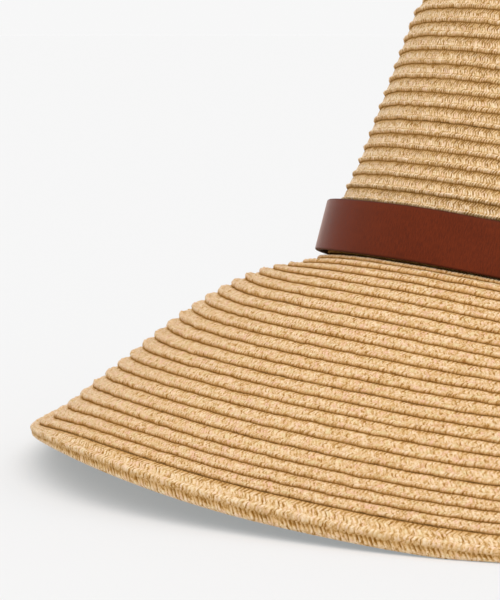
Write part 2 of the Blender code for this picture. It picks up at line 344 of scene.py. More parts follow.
class HatSettings(bpy.types.PropertyGroup):
    """All that can be set for the hat"""

    sizes: PointerProperty(type=StrawSizes)
    straw: PointerProperty(type=StrawColours)
    leather: PointerProperty(type=LeatherLook)
    studio: PointerProperty(type=StudioLook)


def between(before, start, end, after, share):
    """Smooth curve from start to end that leans on the values beside them."""
    bend = 2 * before - 5 * start + 4 * end - after
    rest = 3 * (start - end) + after - before
    return start + share / 2 * (end - before + share * (bend + share * rest))


def around(column, azimuths):
    """Values at an array of azimuths of a column of the brim's table."""
    column = np.array(column, float)
    place = azimuths / 360 * len(column) % len(column)
    row = place.astype(int)
    share = (place - row).reshape((-1,) + (1,) * (column.ndim - 1))
    values = [column[(row + step) % len(column)] for step in (-1, 0, 1, 2)]
    return between(*values, share)


def fading(distances, spread):
    """1 at no distance, fading smoothly to almost nothing at twice the spread."""
    return np.exp(-((distances / spread) ** 2))


def turned_from(azimuths, azimuth):
    """Degrees from one azimuth to others, from -180 to 180."""
    return (azimuths - azimuth + 180) % 360 - 180


def near_left(azimuths, spread=LEFT_SPREAD):
    """How near azimuths are to the far left, from 0 to 1."""
    return fading(turned_from(azimuths, LEFT_AZIMUTH), spread)


def on_grid(values, azimuths):
    """Values given on GRID, at any azimuths."""
    return np.interp(azimuths, GRID, values, period=360)


class HatAxes:
    """The leaning crown's centre, directions and rings."""

    def __init__(self):
        self.centre = np.array((0, 0, CROWN_BASE_HEIGHT))
        up = Vector((tan(radians(CROWN_LEAN_RIGHT)), tan(radians(CROWN_LEAN_BACK)), 1)).normalized()
        right = Vector((1, 0, 0))
        right = (right - right.dot(up) * up).normalized()
        self.up, self.right, self.back = (np.array(v) for v in (up, right, up.cross(right)))

    def points(self, azimuths, radii, heights):
        """Points at distances from the crown's axis and heights along it."""
        turn = np.radians(azimuths)[:, None]
        out = np.sin(turn) * self.right - np.cos(turn) * self.back
        radii, heights = (np.broadcast_to(v, azimuths.shape)[:, None] for v in (radii, heights))
        left_above = np.maximum(0, 1 - heights / CROWN_SIDE_LENGTH)
        dip = BASE_DIP * np.cos(turn - radians(BASE_DIP_AZIMUTH)) * left_above
        return self.centre + radii * out + (heights - dip) * self.up


AXES = HatAxes()


def droops_at(stations, shares):
    """Droops in radians at shares of the brim's width, for each azimuth's six droops."""
    spans = stations.shape[1] - 1
    place = np.minimum(shares * spans, spans - 1e-9)
    span = place.astype(int)
    before = 2 * stations[:, :1] - stations[:, 1:2]
    after = 2 * stations[:, -1:] - stations[:, -2:-1]
    padded = np.hstack((before, stations, after))
    values = [padded[:, span + step] for step in range(4)]
    return np.radians(between(*values, place - span))


class BrimShape:
    """The brim's top along its slope, all round the hat."""

    def __init__(self):
        fullness = around([row.fullness for row in BRIM_SECTIONS], GRID)
        lift = np.maximum(0, around([row.lift for row in BRIM_SECTIONS], GRID))
        rim_top = RIM_PRESSED_DEPTH + lift * RIM_LIFT
        self.fullness = fullness * BRIM_FULLNESS
        self.width = BRIM_WIDTH + self.fullness
        self.rim_bottom = np.maximum(0, rim_top - RIM_DEPTH)
        shares = (np.arange(SECTION_STEPS) + 0.5) / SECTION_STEPS
        droops = droops_at(around([row.droops for row in BRIM_SECTIONS], GRID), shares)
        turned = shares * self.width[:, None] > self.width[:, None] - EDGE_BRAID_WIDTH
        droops = droops + turned * radians(RIM_TURN) * lift[:, None]
        step = self.width[:, None] / SECTION_STEPS
        start = np.zeros((len(GRID), 1))
        self.along = np.hstack((start, np.cumsum(step * np.cos(droops), axis=1)))
        down = np.hstack((start, np.cumsum(step * np.sin(droops), axis=1)))
        missing = AXES.points(GRID, CROWN_RADIUS, 0)[:, 2] - rim_top - down[:, -1]
        self.down = down + missing[:, None] * (np.arange(SECTION_STEPS + 1) / SECTION_STEPS) ** 2

    def width_at(self, azimuths):
        return on_grid(self.width, azimuths)

    def place(self, azimuths, slopes):
        """Distance out, distance down and droop at distances down the slope."""
        turn = azimuths % 360 / 360 * len(GRID)
        near = turn.astype(int) % len(GRID)
        far = (near + 1) % len(GRID)
        share = turn - turn.astype(int)
        at = np.clip(slopes / self.width_at(azimuths), 0, 1) * SECTION_STEPS
        at = np.minimum(at, SECTION_STEPS - 1e-9)
        step = at.astype(int)
        ends = []
        for table in (self.along, self.down):
            for number in (step, step + 1):
                ends.append(table[near, number] * (1 - share) + table[far, number] * share)
        inner, outer, high, low = ends
        part = at - step
        droop = np.arctan2(low - high, outer - inner)
        from_rim = self.width_at(azimuths) - slopes
        hollow = HOLLOW_DEPTH * fading(from_rim - HOLLOW_INSET, HOLLOW_SPREAD)
        hollow = hollow + INNER_HOLLOW * fading(slopes - INNER_HOLLOW_SLOPE, INNER_HOLLOW_SPREAD)
        hollow = hollow * near_left(azimuths)
        return inner + part * (outer - inner), high + part * (low - high) + hollow, droop

    def points(self, azimuths, slopes, rises):
        """Points at distances down the slope and distances off the brim's top."""
        start = AXES.points(azimuths, CROWN_RADIUS, 0)
        along, down, droop = self.place(azimuths, slopes)
        along = along + rises * np.sin(droop)
        return self.upright(azimuths, along, start[:, 2] - down + rises * np.cos(droop))

    def upright(self, azimuths, along, heights):
        """Points at level distances out from the crown's base and heights above the floor."""
        start = AXES.points(azimuths, CROWN_RADIUS, 0)
        turn = np.radians(azimuths)
        x, y = start[:, 0] + along * np.sin(turn), start[:, 1] - along * np.cos(turn)
        return np.stack((x, y, np.broadcast_to(heights, x.shape)), axis=1)


BRIM = BrimShape()


def footprint_middle():
    """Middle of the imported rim's outline seen from above."""
    azimuths = np.arange(OUTLINE_SEGMENTS) * 360 / OUTLINE_SEGMENTS
    outline = BRIM.points(azimuths, BRIM.width_at(azimuths), np.zeros(OUTLINE_SEGMENTS))
    low, high = outline.min(axis=0), outline.max(axis=0)
    return np.array(((low[0] + high[0]) / 2, (low[1] + high[1]) / 2, 0))


ORIGIN = footprint_middle()


def brim_grooves():
    """Distances down the slope of the grooves between rows, on GRID, up to the edge braid."""
    narrow_width = NARROW_ROWS * NARROW_ROW_WIDTH
    narrow_start = BRIM_WIDTH - EDGE_BRAID_WIDTH - narrow_width
    rows = max(1, round((narrow_start - FIRST_BRIM_ROW) / BRIM_ROW_WIDTH))
    width = (narrow_start - FIRST_BRIM_ROW) / rows
    wide = [np.full(len(GRID), FIRST_BRIM_ROW + width * number) for number in range(rows + 1)]
    narrow_row = (narrow_width + BRIM.fullness + GROOVE_SHIFT * near_left(GRID)) / NARROW_ROWS
    return wide + [narrow_start + narrow_row * number for number in range(1, NARROW_ROWS)]


class CrownShape:
    """The crown's outside along its profile, from the brim to the middle of the tip."""

    def __init__(self):
        self.turn = radians(90 - CROWN_TAPER - TIP_SLOPE)
        self.shoulder_end = CROWN_SIDE_LENGTH + SHOULDER_RADIUS * self.turn
        self.dome_start = self.shoulder_place(self.turn)
        self.dome_radius = float(self.dome_start[0]) / sin(radians(TIP_SLOPE))
        self.whole = self.shoulder_end + self.dome_radius * radians(TIP_SLOPE)

    def shoulder_place(self, turned):
        """Radius and height where the profile has turned by an angle at the shoulder."""
        lean = radians(CROWN_TAPER)
        radius = CROWN_RADIUS - CROWN_SIDE_LENGTH * sin(lean)
        radius = radius - SHOULDER_RADIUS * (cos(lean) - np.cos(lean + turned))
        height = CROWN_SIDE_LENGTH * cos(lean)
        height = height + SHOULDER_RADIUS * (np.sin(lean + turned) - sin(lean))
        return radius, height

    def place(self, lengths, rises):
        """Radii and heights at lengths up the profile and distances off its outside."""
        side = np.minimum(lengths, CROWN_SIDE_LENGTH)
        lean = radians(CROWN_TAPER)
        turned = np.clip((lengths - CROWN_SIDE_LENGTH) / SHOULDER_RADIUS, 0, self.turn)
        left = (self.whole - lengths) / self.dome_radius
        on_side = lengths <= CROWN_SIDE_LENGTH
        on_dome = lengths > self.shoulder_end
        bent_radius, bent_height = self.shoulder_place(turned)
        dome_rise = np.cos(left) - cos(radians(TIP_SLOPE))
        dome_height = self.dome_start[1] + self.dome_radius * dome_rise
        side_radius = CROWN_RADIUS - side * sin(lean)
        places = (on_side, on_dome)
        radius = np.select(places, (side_radius, self.dome_radius * np.sin(left)), bent_radius)
        height = np.select(places, (side * cos(lean), dome_height), bent_height)
        lean = np.select(places, (lean + 0 * left, pi / 2 - left), lean + turned)
        return radius + rises * np.cos(lean), height + rises * np.sin(lean)

    def points(self, azimuths, lengths, rises):
        """Points at lengths up the profile and distances off its outside."""
        bulge = CROWN_BULGE * fading(lengths - CROWN_BULGE_LENGTH, CROWN_BULGE_SPREAD)
        bulge = bulge * near_left(azimuths, CROWN_BULGE_TURN)
        return AXES.points(azimuths, *self.place(lengths, rises + bulge))

    def grooves(self):
        """Lengths up the profile of the grooves between rows, from the middle of the tip down."""
        first = self.whole - TIP_DISC_RADIUS
        rows = int((first - BAND_SEAT) / CROWN_ROW_WIDTH) + 1
        return [first - CROWN_ROW_WIDTH * number for number in range(rows)]


CROWN = CrownShape()

# A closed line of points round the hat. Strands is how many strands it is long, start the turn
# at which its first point lies, lag that point's place along the plait in strands, across its
# place across the braid, and the last field how open to the light it lies, which is painted
# into the straw's colour as shade.
Ring = namedtuple("Ring", "points strands start lag across tone")


def waver(chance, size, waves, around_hat):
    """A random smooth waver round the hat, on GRID, from waves between two lengths."""
    longest, shortest = waves
    counts = np.arange(max(2, int(around_hat / longest)), max(4, int(around_hat / shortest)))
    phases = chance.uniform(0, 2 * pi, len(counts))
    heights = chance.normal(size=len(counts)) / np.sqrt(counts)
    turns = counts[:, None] * np.radians(GRID) + phases[:, None]
    values = (heights[:, None] * np.cos(turns)).sum(axis=0)
    return size * values / values.std()


class SewnRow:
    """One row of braid with strands of its own, laid between two lines on a surface."""

    def __init__(self, chance, sizes, number, strand, around_hat):
        self.number = number
        self.strands = max(5, round(around_hat / strand))
        self.gap_depth = sizes.gap_depth * MM
        self.serration = sizes.serration
        self.phase = chance.uniform()
        self.swell = 1 + waver(chance, sizes.unevenness, SWELL_WAVES, around_hat)
        self.rope = np.ones(len(GRID))
        self.shading = 1.0
        spread = (ZONES, self.strands, SAMPLES)
        self.depths = chance.uniform(*GAP_DEPTHS, spread)
        self.heights = chance.normal(0, STRAND_HEIGHTS, spread)
        self.slips = np.clip(chance.normal(0, STRAND_SLIPS, spread), -MOST_SLIP, MOST_SLIP)
        self.strays = chance.normal(0, sizes.raggedness, spread)

    def ring(self, points, spot, across):
        """A ring at one place across the row. Points takes azimuths, swells, offsets and strays."""
        samples = SAMPLES if spot.gap > 0 else 1
        odd = spot.zone % 2
        along = np.arange(samples * self.strands) / samples
        in_gap = np.arange(len(along)) % SAMPLES == 1 - odd
        depths, heights, slips, strays = (
            table[spot.zone, :, :samples].ravel()
            for table in (self.depths, self.heights, self.slips, self.strays)
        )
        azimuths = (along + spot.shift + self.phase + slips) / self.strands * 360
        dents = depths * spot.gap * in_gap
        if spot.zone == 2 and across > EDGE_RAGGED_FROM:
            notches = self.serration * depths * (in_gap - 0.5) * (samples == SAMPLES)
            strays = strays * EDGE_STRAYS - notches
        offsets = heights * (spot.gap > 0) - dents * self.gap_depth
        found = points(azimuths, on_grid(self.swell, azimuths), offsets, strays)
        # Painted shade: the straw's colour darkens in the gaps between strands, the deeper the darker
        tone = spot.tone * (1 - np.minimum(DARKEST_GAP, GAP_SHADE * self.shading * dents))
        start = (spot.shift + self.phase) / self.strands
        return Ring(found, self.strands, start, odd / 2, self.number + across, tone)


def plain_ring(surface, count, across, tone=1.0):
    """A ring with no strands. Surface takes azimuths."""
    return Ring(surface(np.arange(count) * 360 / count), count, 0, 0, across, np.full(count, tone))


def row_rings(row, profile, surface, top, bottom):
    """Rings across one row from its top to its lower edge. Top and bottom are lines on GRID."""
    rings = []
    lowest = profile[0].rise * MM
    for spot in profile:
        def points(azimuths, swells, offsets, strays):
            high, low = on_grid(top, azimuths), on_grid(bottom, azimuths)
            if spot.zone == 2:
                swells = swells * on_grid(row.rope, azimuths)
            rises = lowest + (spot.rise * MM - lowest) * swells + offsets
            return surface(azimuths, high + spot.share * (low - high) + strays, rises)

        rings.append(row.ring(points, spot, spot.share))
    return rings


def underside_rings(number, strands, surface, top, bottom):
    """Plainer rings under one row, from its lower edge back to its top."""
    count = max(8, strands // 3)
    rings = []
    for spot in UNDERSIDE_ROW:
        def points(azimuths, spot=spot):
            high, low = on_grid(top, azimuths), on_grid(bottom, azimuths)
            places = high + spot.share * (low - high)
            return surface(azimuths, places, np.full(len(azimuths), spot.rise * MM - WALL))

        rings.append(plain_ring(points, count, number + spot.share, spot.tone))
    return rings


def strip_faces(first, second):
    """Corners of the faces between two rings, as an array of rings and one of points."""
    n, m = len(first.points), len(second.points)
    if n == 1 or m == 1:
        index = np.arange(max(n, m))
        fan = np.zeros_like(index)
        if n == 1:
            return np.stack((fan, fan + 1, fan + 1), 1), np.stack((fan, index + 1, index), 1)
        return np.stack((fan, fan, fan + 1), 1), np.stack((index, index + 1, fan), 1)
    if n == m and first.strands == second.strands and int(first.across) == int(second.across):
        index = np.arange(n)
        side = np.zeros_like(index)
        return (
            np.stack((side, side, side + 1, side + 1), 1),
            np.stack((index, index + 1, index + 1, index), 1),
        )
    lag = round((first.start - second.start) * m)
    turns = np.concatenate((
        first.start + np.arange(1, n + 1) / n,
        second.start + (lag + np.arange(1, m + 1)) / m,
    ))
    on_first = np.argsort(turns, kind="stable") < n
    near = np.cumsum(on_first) - on_first
    far = np.cumsum(~on_first) - ~on_first + lag
    side = np.where(on_first, 0, 1)
    point = np.where(on_first, near + 1, far + 1)
    zero = np.zeros_like(side)
    return np.stack((zero, side, zero + 1), 1), np.stack((near, point, far), 1)


def make_mesh(name, rings, closed):
    """A mesh from rings of points, with the braid's pattern as a UV map and its tone."""
    offsets = np.cumsum([0] + [len(ring.points) for ring in rings])
    following = rings[1:] + (rings[:1] if closed else [])
    corners, places, totals = [], [], []
    for number, (first, second) in enumerate(zip(rings, following)):
        sides, index = strip_faces(first, second)
        pair = (number, (number + 1) % len(rings))
        counts = np.array([len(rings[side].points) for side in pair])[sides]
        corners.append((np.array([offsets[side] for side in pair])[sides] + index % counts).ravel())
        strands = np.array([rings[side].strands for side in pair])[sides]
        across = np.array([rings[side].across for side in pair])[sides]
        lags = np.array([rings[side].lag for side in pair])[sides]
        places.append(np.stack((index / counts * strands + lags, across), axis=-1).reshape(-1, 2))
        totals.append(np.full(len(sides), sides.shape[1]))
    corners, places, totals = (np.concatenate(parts) for parts in (corners, places, totals))
    points = np.concatenate([ring.points for ring in rings]) - ORIGIN
    mesh = bpy.data.meshes.new(name)
    mesh.vertices.add(len(points))
    mesh.vertices.foreach_set("co", points.ravel().astype(np.float32))
    mesh.loops.add(len(corners))
    mesh.loops.foreach_set("vertex_index", corners.astype(np.int32))
    mesh.polygons.add(len(totals))
    mesh.polygons.foreach_set("loop_start", (np.cumsum(totals) - totals).astype(np.int32))
    mesh.update(calc_edges=True)
    mesh.uv_layers.new(name="braid").uv.foreach_set("vector", places.ravel().astype(np.float32))
    # How open to the light each point lies, painted into the straw's colour as shade
    tone = np.concatenate([ring.tone for ring in rings]).astype(np.float32)
    mesh.attributes.new("tone", "FLOAT", "POINT").data.foreach_set("value", tone)
    mesh.shade_smooth()
    if volume(mesh) < 0:
        mesh.flip_normals()
    return mesh


def volume(mesh):
    """Volume that the mesh encloses, negative if its faces look inwards."""
    mesh.calc_loop_triangles()
    spots = np.empty(3 * len(mesh.vertices), np.float32)
    mesh.vertices.foreach_get("co", spots)
    ends = np.empty(3 * len(mesh.loop_triangles), np.int32)
    mesh.loop_triangles.foreach_get("vertices", ends)
    a, b, c = spots.reshape(-1, 3).astype(float)[ends.reshape(-1, 3)].transpose(1, 0, 2)
    return np.einsum("ij,ij->", a, np.cross(b, c)) / 6


def place_piece(mesh, material, node):
    """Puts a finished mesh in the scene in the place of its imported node."""
    mesh.materials.append(material)
    piece = bpy.data.objects.new(mesh.name, mesh)
    bpy.context.scene.collection.objects.link(piece)
    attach(piece, "root")
    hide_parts(node)


class NodeTable:
    """Adds nodes to a material and links them."""

    def __init__(self, name):
        self.material = bpy.data.materials.new(name)
        self.material.use_nodes = True
        self.tree = self.material.node_tree
        self.shader = self.tree.nodes["Principled BSDF"]

    def add(self, kind, inputs=(), output=0, **settings):
        """Adds a node, sets its inputs to values or links, and returns one of its outputs."""
        node = self.tree.nodes.new("ShaderNode" + kind)
        for key, value in settings.items():
            setattr(node, key, value)
        for key, value in dict(inputs).items():
            self.set(node.inputs[key], value)
        return node.outputs[output]

    def set(self, socket, value):
        if isinstance(value, bpy.types.NodeSocket):
            self.tree.links.new(value, socket)
        elif socket.type == "RGBA" and len(value) == 3:
            socket.default_value = (*value, 1)
        else:
            socket.default_value = value

    def math(self, operation, *values):
        return self.add("Math", dict(enumerate(values)), operation=operation)

    def weighted(self, *parts):
        """Sum of values times weights, given in pairs."""
        total = self.math("MULTIPLY", *parts[0])
        for value, weight in parts[1:]:
            total = self.math("MULTIPLY_ADD", value, weight, total)
        return total

    def left_by(self, *shares):
        """Product of what each share leaves of 1."""
        total = 1.0
        for share in shares:
            total = self.math("MULTIPLY", total, self.math("SUBTRACT", 1.0, share))
        return total

    def noise(self, vector, scale, detail=2.0, roughness=0.5):
        inputs = {"Vector": vector, "Scale": scale, "Detail": detail, "Roughness": roughness}
        return self.add("TexNoise", inputs)

    def mix(self, share, first, second, blend_type="MIX"):
        """Colour between two colours."""
        inputs = {0: share, 6: first, 7: second}
        return self.add("Mix", inputs, output=2, data_type="RGBA", blend_type=blend_type)

    def ranged(self, value, low, high, to_low, to_high):
        """Value moved from one range to another, clamped."""
        return self.add("MapRange", {0: value, 1: low, 2: high, 3: to_low, 4: to_high})

    def bump(self, height, strength):
        """Surface direction of a height in metres."""
        return self.add("Bump", {"Height": height, "Distance": 1.0, "Strength": strength})

    def finish(self, **inputs):
        """Sets the shader's inputs and returns the material."""
        for key, value in inputs.items():
            self.set(self.shader.inputs[key.replace("_", " ")], value)
        return self.material


# Plait is how clear the strands are, mottle how strong the patches, and stitching how dark the
# thread's line. Tint multiplies the colour: it sets each part's hue, and on the brim and the rim
# it is also painted shade, darker because the overhead lamp lights them more than the crown.
StrawLook = namedtuple("StrawLook", "plait mottle stitching tint")
STRAW_LOOKS = {
    "crown_straw": StrawLook(0.80, 0.60, 0.80, (1.0, 1.01, 1.12)),
    "brim_straw": StrawLook(0.40, 0.85, 0.25, (0.91, 0.865, 0.87)),
    "rim_straw": StrawLook(0.65, 0.60, 0.0, (0.93, 0.91, 0.95)),
}

# Sizes of the straw's patterns: cycles a metre, or cycles a strand and cycles a row
STRAY_SCALE = 650.0
GRAIN_SCALE = 1000.0
BLOTCH_SCALE = 420.0
HUE_SCALE = 330.0
DRIFT_SCALE = 22.0
FIBRE_SCALES = (4.5, 4.0)
STROKE_SCALES = (1.6, 2.4)
THREAD_SCALE = 0.8
COLUMNS = 3.0  # columns of strands across a row

# Heights of the straw's and the leather's patterns, in metres
STRAND_BULGE = 0.00020
FIBRE_HEIGHT = 0.00022
STROKE_HEIGHT = 0.00035
GRAIN_HEIGHT = 0.00022
PEBBLE_HEIGHT = 0.00005
STREAK_HEIGHT = 0.00005
PORE_HEIGHT = 0.00004


def straw_material(name, colours, look):
    """Straw whose strands, gaps and fibres follow the braid."""
    nodes = NodeTable(name)
    place = nodes.add("UVMap", uv_map="braid")
    split = nodes.tree.nodes.new("ShaderNodeSeparateXYZ")
    nodes.set(split.inputs[0], place)
    along, across = split.outputs[0], split.outputs[1]
    spot = nodes.add("TexCoord", output="Object")
    tone = nodes.add("Attribute", output="Fac", attribute_name="tone")
    stray = nodes.math("SUBTRACT", nodes.noise(spot, STRAY_SCALE), 0.5)
    strand = nodes.math("MULTIPLY_ADD", stray, 0.6, along)
    off_middle = nodes.math("PINGPONG", strand, 0.5)
    column = nodes.math("ROUND", nodes.math("MULTIPLY", across, COLUMNS))
    cell = nodes.add("CombineXYZ", {0: nodes.math("ROUND", strand), 1: column})
    chance = nodes.add("TexWhiteNoise", {"Vector": cell})

    def plait_noise(strands, rows):
        """Noise whose patches follow the strands and the rows."""
        lengthwise = nodes.math("MULTIPLY", strand, strands)
        crosswise = nodes.math("MULTIPLY", across, rows)
        return nodes.noise(nodes.add("CombineXYZ", {0: lengthwise, 1: crosswise}), 1.0, 3.0, 0.65)

    def centred(value):
        return nodes.math("SUBTRACT", value, 0.5)

    fibres = plait_noise(*FIBRE_SCALES)
    strokes = plait_noise(*STROKE_SCALES)
    grain = nodes.noise(spot, GRAIN_SCALE, 2.0, 0.7)
    blotches = nodes.noise(spot, BLOTCH_SCALE, 3.0, 0.65)
    drift = nodes.noise(spot, DRIFT_SCALE)
    hue = nodes.noise(spot, HUE_SCALE)
    paleness = nodes.weighted(
        (fibres, 0.80),
        (chance, 0.30),
        (centred(drift), 0.30),
        (centred(blotches), look.mottle),
        (centred(grain), 1.4),
    )
    colour = nodes.mix(nodes.ranged(paleness, 0.28, 0.74, 0.0, 1.0), colours.deep, colours.light)
    colour = nodes.mix(nodes.ranged(hue, 0.54, 0.68, 0.0, 0.9 * look.mottle), colour, colours.blush)
    colour = nodes.mix(nodes.ranged(hue, 0.46, 0.32, 0.0, 0.7 * look.mottle), colour, colours.green)

    # Painted shade between strands: gap darkens the straw between them, and stroke in dark strokes
    # along them
    gap = nodes.ranged(off_middle, 0.18, 0.46, 0.0, look.plait)
    gap = nodes.math("MULTIPLY", gap, nodes.ranged(strokes, 0.36, 0.60, 1.0, 0.20))
    stroke = nodes.ranged(strokes, 0.48, 0.38, 0.0, 0.72)
    speck = nodes.ranged(grain, 0.43, 0.33, 0.0, 0.55)
    off_seam = nodes.math("SUBTRACT", nodes.math("FRACT", across), STITCH_LINE)
    seam = nodes.ranged(nodes.math("ABSOLUTE", off_seam), 0.045, 0.015, 0.0, look.stitching)
    row_line = nodes.add("CombineXYZ", {0: along, 1: nodes.math("FLOOR", across)})
    dashes = nodes.ranged(nodes.noise(row_line, THREAD_SCALE), 0.40, 0.56, 0.2, 1.0)
    thread = nodes.math("MULTIPLY", seam, dashes)
    # Painted shade from how open the rings lie to the light and from gap and stroke, together with the
    # straw's own specks and its dark stitching thread; it pulls the colour towards the shaded straw
    # and the groove
    painted_light_and_marks = nodes.math("MULTIPLY", tone, nodes.left_by(gap, stroke, speck, thread))
    colour = nodes.mix(nodes.ranged(painted_light_and_marks, 0.30, 0.90, 0.0, 1.0), colours.shade, colour)
    colour = nodes.mix(nodes.ranged(painted_light_and_marks, 0.0, 0.34, 0.0, 1.0), colours.groove, colour)
    # Each part's hue, with painted shade on the brim and the rim
    colour = nodes.mix(1.0, colour, look.tint, "MULTIPLY")

    off_middle = nodes.math("MULTIPLY", off_middle, 2.0)
    bulge = nodes.math("SUBTRACT", 1.0, nodes.math("POWER", off_middle, 2.0))
    height = nodes.weighted(
        (bulge, STRAND_BULGE * look.plait),
        (fibres, FIBRE_HEIGHT),
        (strokes, STROKE_HEIGHT),
        (grain, GRAIN_HEIGHT),
    )
    return nodes.finish(
        Base_Color=colour,
        Roughness=nodes.ranged(fibres, 0.3, 0.7, 0.46, 0.68),
        Normal=nodes.bump(height, 0.9),
        Specular_IOR_Level=nodes.ranged(painted_light_and_marks, 0.3, 0.9, 0.0, 0.28),
        Sheen_Weight=nodes.ranged(painted_light_and_marks, 0.4, 0.9, 0.0, 0.12),
        Sheen_Roughness=0.45,
    )


def straw(settings, name):
    """One of the straw materials, made when it is first needed."""
    return bpy.data.materials.get(name) or straw_material(name, settings.straw, STRAW_LOOKS[name])


STREAK_SCALES = (2200.0, 420.0, 1.0)  # cycles a metre along the strap and up it
LEATHER_PORE_SCALE = 2600.0
CLOUD_SCALE = 55.0
PALE_LEATHER = 1.45  # how much lighter than the face its pale streaks are


def leather_material(look):
    """Dyed leather with fine upright streaks, darker at its edges and on its flesh side."""
    nodes = NodeTable("strap_leather")
    spot = nodes.add("TexCoord", output="Object")
    place = nodes.add("UVMap", uv_map="strap")
    stretched = nodes.add("Mapping", {"Vector": place, "Scale": STREAK_SCALES})
    streaks = nodes.noise(stretched, 1.0, 3.0, 0.6)
    pebbles = nodes.add("TexVoronoi", {"Vector": spot, "Scale": 1 / look.grain}, feature="SMOOTH_F1")
    pores = nodes.noise(spot, LEATHER_PORE_SCALE, 3.0)
    cloud = nodes.noise(spot, CLOUD_SCALE, 3.0)
    face = nodes.add("Attribute", output="Fac", attribute_name="tone")
    pale = [value * PALE_LEATHER for value in look.face]
    colour = nodes.mix(nodes.ranged(cloud, 0.35, 0.7, 0.0, 0.35), look.face, pale)
    colour = nodes.mix(nodes.ranged(streaks, 0.48, 0.66, 0.0, 0.55), colour, pale)
    colour = nodes.mix(nodes.ranged(streaks, 0.50, 0.32, 0.0, 0.30), colour, look.edge)
    colour = nodes.mix(nodes.ranged(pores, 0.55, 0.80, 0.0, 0.20), colour, look.edge)
    colour = nodes.mix(face, look.edge, colour)
    height = nodes.weighted((pebbles, PEBBLE_HEIGHT), (streaks, STREAK_HEIGHT), (pores, PORE_HEIGHT))
    return nodes.finish(
        Base_Color=colour,
        Roughness=nodes.ranged(streaks, 0.3, 0.7, 0.44, 0.54),
        Normal=nodes.bump(height, 0.4),
        Specular_IOR_Level=0.06,
        Sheen_Weight=nodes.ranged(face, 0.6, 1.0, 0.0, 0.65),
        Sheen_Roughness=0.22,
        Sheen_Tint=(1.0, 0.86, 0.83),
    )


def crown_lines(sizes):
    """Grooves of the crown from the tip down, each wavering on GRID."""
    chance = np.random.default_rng(sizes.seed)
    lines = []
    for length in CROWN.grooves():
        radius = float(CROWN.place(np.array(length), 0)[0])
        waver_size = sizes.waver * min(1, radius / STEADY_RADIUS)
        around_hat = 2 * pi * max(radius, LEAST_RADIUS)
        lines.append(length + waver(chance, waver_size, CROWN_WAVES, around_hat))
    return lines


def row_pieces(pieces, lines, spots, surface, lap, sew_row):
    """Pieces of neighbouring rows: each one's name, its rows, and the rings of its outside and
    of its underside. A piece that isn't the first starts with a lap under the one before it."""
    ends = [first for _, first in pieces[1:]] + [len(lines) - 1]
    for (name, first), end in zip(pieces, ends):
        rows, outer, inner = [], [], []
        for number in range(first, end):
            top, bottom = lines[number], lines[number + 1]
            row = sew_row(number, top, bottom)
            rings = row_rings(row, spots, surface, top, bottom)
            if number == first and first:
                rings[0] = seam_ring(row, spots[0], surface, top + lap)
            rows.append(row)
            outer += rings
            inner = underside_rings(number, row.strands, surface, top, bottom) + inner
        yield name, rows, outer, inner


def make_crown(settings):
    """Three closed pieces of the crown: its tip, its upper rows and its lower rows."""
    sizes = settings.sizes
    material = straw(settings, "crown_straw")
    chance = np.random.default_rng(sizes.seed + 1)
    lines = crown_lines(sizes)

    def sew_row(number, top, bottom):
        radius = float(CROWN.place(np.array((top.mean() + bottom.mean()) / 2), 0)[0])
        row = SewnRow(chance, sizes, number, sizes.crown_strand, 2 * pi * radius)
        row.shading = CROWN_SHADING
        if bottom.mean() < BAND_SEAT + BAND_HEIGHT:
            row.swell = row.swell * PRESSED_SWELL
        return row

    disc = tip_disc(chance, sizes, lines[0])
    pieces = row_pieces(CROWN_PIECES, lines, CROWN_ROW, CROWN.points, SEAM_LAP, sew_row)
    for name, rows, outer, inner in pieces:
        is_tip = name == "crown_tip_rows"
        if is_tip:
            outer = disc + outer
            inner.append(tip_middle(-WALL))
        if name == "crown_lower_rows":
            outer += crown_foot(lines[-1], rows[-1].strands)
        make_part(name, outer + inner, material, "crown", not is_tip)


def tip_middle(rise):
    """The single point in the middle of the tip, as a ring."""
    point = CROWN.points(np.zeros(1), np.full(1, CROWN.whole), np.full(1, rise))
    return Ring(point, 1, 0, 0, -1, np.ones(1))


def tip_disc(chance, sizes, edge):
    """Rings of the coiled disc in the middle of the tip, out to its edge."""
    row = SewnRow(chance, sizes, -1, sizes.crown_strand, TIP_DISC_ROUND)
    start = np.full(len(GRID), CROWN.whole)
    rings = row_rings(row, CROWN_ROW[TIP_DISC_FROM:], CROWN.points, start, edge)
    return [tip_middle(CROWN_ROW[TIP_DISC_FROM].rise * MM)] + rings


def seam_ring(row, spot, surface, line):
    """First ring of a piece that starts in a groove, just clear of the piece above it."""

    def points(azimuths, swells, offsets, strays):
        return surface(azimuths, on_grid(line, azimuths), np.full(len(azimuths), spot.rise * MM))

    return row.ring(points, spot, 0)


def crown_foot(line, strands):
    """Plain wall of the crown behind the strap, down to the brim and back up inside."""
    rings = []
    foot = CLEARANCE
    for share, rise in ((0.06, 0.0), (1.0, 0.0), (1.0, -WALL)):
        def points(azimuths, share=share, rise=rise):
            start = on_grid(line, azimuths)
            return CROWN.points(azimuths, start + share * (foot - start), np.full(len(azimuths), rise))

        rings.append(plain_ring(points, strands, FOOT_NUMBER + share, FOOT_TONE))
    return rings


def make_part(name, rings, material, node, closed):
    """Makes one piece of its rings and puts it in place of a node."""
    place_piece(make_mesh(name, rings, closed), material, node)


def brim_lines(sizes):
    """Grooves of the brim from the crown outwards, each wavering on GRID."""
    chance = np.random.default_rng(sizes.seed + 2)
    lines = []
    for line in brim_grooves():
        around_hat = 2 * pi * (CROWN_RADIUS + line.mean() * BRIM_REACH)
        lines.append(line + waver(chance, sizes.waver, BRIM_WAVES, around_hat))
    return lines


